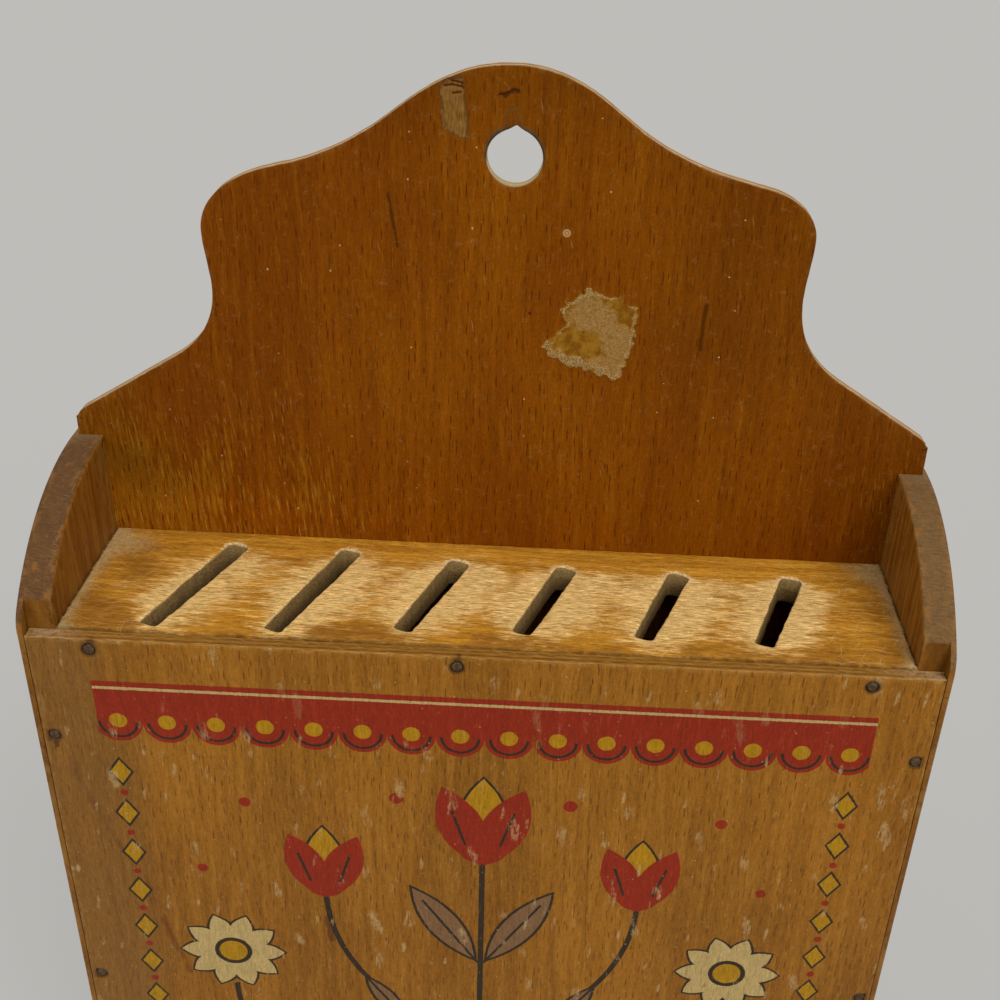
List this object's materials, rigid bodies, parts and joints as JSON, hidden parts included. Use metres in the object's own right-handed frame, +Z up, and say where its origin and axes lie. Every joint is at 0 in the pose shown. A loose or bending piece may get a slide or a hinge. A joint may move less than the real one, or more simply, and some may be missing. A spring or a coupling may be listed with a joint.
{
  "type": "wall knife holder",
  "caption": "Shallow nailed wooden box that hangs on a wall by its scalloped backboard and holds knives upright in slanted slots.",
  "frame": {"origin": "middle of the underside, on the surface that the box can stand on", "axes": "+X to the right along the wall, +Y into the wall, +Z up; the printed front faces -Y"},
  "size_m": [0.24, 0.0576, 0.3754],
  "materials": {
    "backboard_varnish": "glossy orange-brown varnish on plywood",
    "side_panel_varnish": "worn brown varnish on solid beech",
    "slotted_board_varnish": "golden varnish worn pale round the slots",
    "bottom_board_wood": "bare beech",
    "front_board_varnish": "worn varnish on plywood with a printed folk pattern",
    "nail_steel": "dull dark steel"
  },
  "bodies": {
    "root": {"backboard": "backboard_varnish", "side_panel_left": "side_panel_varnish", "side_panel_right": "side_panel_varnish", "slotted_board": "slotted_board_varnish", "bottom_board": "bottom_board_wood", "front_board": "front_board_varnish", "front_nail_top_1": "nail_steel", "front_nail_top_2": "nail_steel", "front_nail_top_3": "nail_steel", "front_nail_left_1": "nail_steel", "front_nail_left_2": "nail_steel", "front_nail_left_3": "nail_steel", "front_nail_right_1": "nail_steel", "front_nail_right_2": "nail_steel", "front_nail_right_3": "nail_steel", "front_nail_bottom_1": "nail_steel", "front_nail_bottom_2": "nail_steel", "front_nail_bottom_3": "nail_steel", "back_nail_top_1": "nail_steel", "back_nail_top_2": "nail_steel", "back_nail_top_3": "nail_steel", "back_nail_left_1": "nail_steel", "back_nail_left_2": "nail_steel", "back_nail_left_3": "nail_steel", "back_nail_left_4": "nail_steel", "back_nail_right_1": "nail_steel", "back_nail_right_2": "nail_steel", "back_nail_right_3": "nail_steel", "back_nail_right_4": "nail_steel", "back_nail_bottom_1": "nail_steel", "back_nail_bottom_2": "nail_steel", "back_nail_bottom_3": "nail_steel", "side_nail_left_1": "nail_steel", "side_nail_left_2": "nail_steel", "side_nail_left_3": "nail_steel", "side_nail_left_4": "nail_steel", "side_nail_right_1": "nail_steel", "side_nail_right_2": "nail_steel", "side_nail_right_3": "nail_steel", "side_nail_right_4": "nail_steel"}
  },
  "joints": []
}
